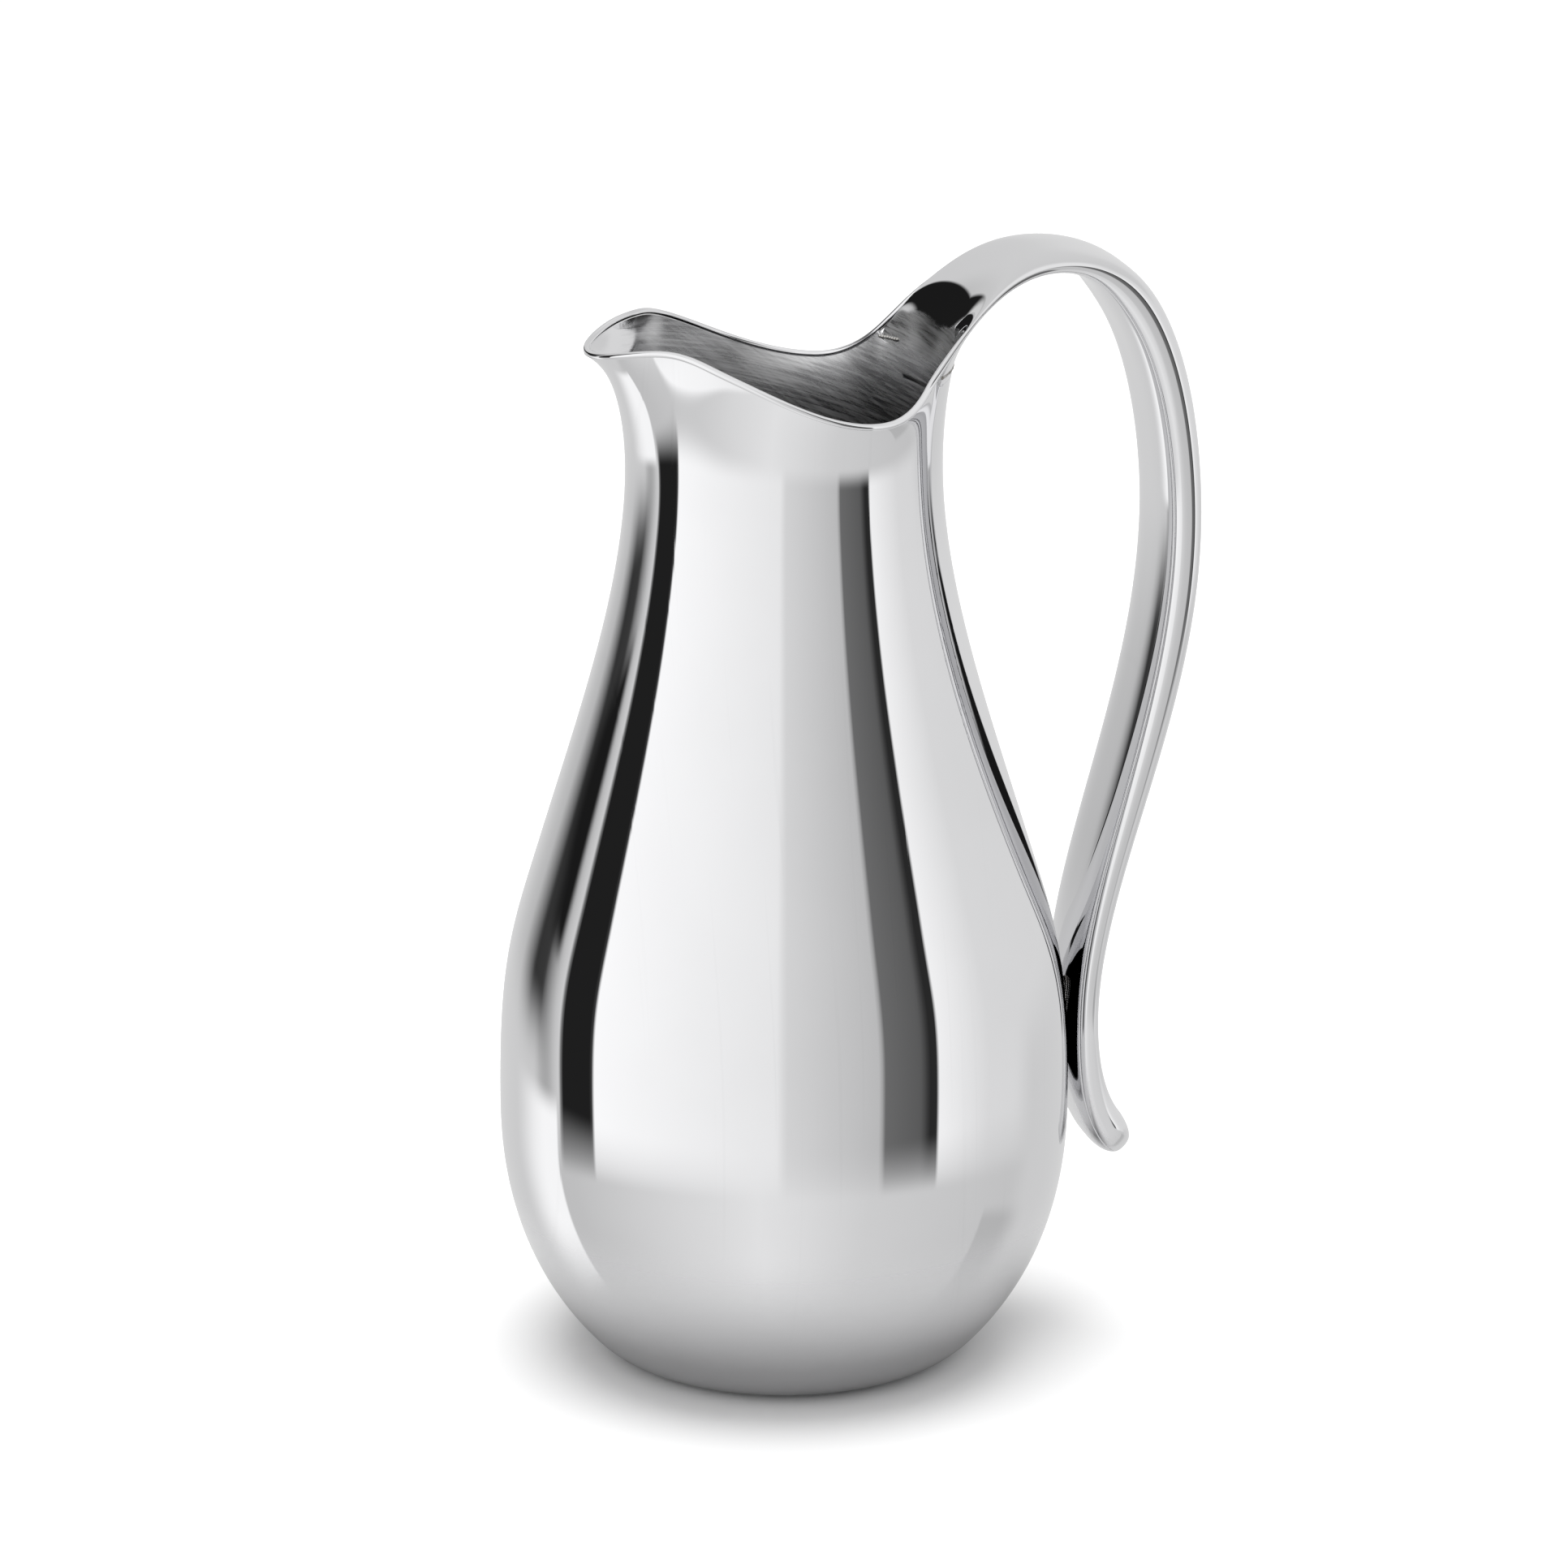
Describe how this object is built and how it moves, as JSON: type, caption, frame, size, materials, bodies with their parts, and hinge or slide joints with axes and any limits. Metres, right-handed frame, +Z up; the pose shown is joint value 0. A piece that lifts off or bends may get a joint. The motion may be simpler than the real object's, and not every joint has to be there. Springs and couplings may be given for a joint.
{
  "type": "water pitcher",
  "caption": "Tall pear-shaped metal water pitcher with a flared mouth, a pouring lip and a hollow handle that arches from the rim to the belly.",
  "frame": {"origin": "centre of the flat underside, on the body's axis", "axes": "+Z up along the body's axis, -X towards the pouring lip, +X towards the handle"},
  "size_m": [0.1505, 0.1222, 0.2402],
  "materials": {
    "polished_metal": "mirror polished",
    "base_metal": "satin",
    "filler_metal": "as laid"
  },
  "bodies": {
    "root": {"body_shell": "polished_metal", "base_disc": "base_metal", "rim_wire": "polished_metal", "handle_outer_shell": "polished_metal", "handle_inner_shell": "polished_metal", "root_weld": "filler_metal", "corner_weld_near": "filler_metal", "corner_weld_far": "filler_metal", "belly_braze": "filler_metal"}
  },
  "joints": []
}
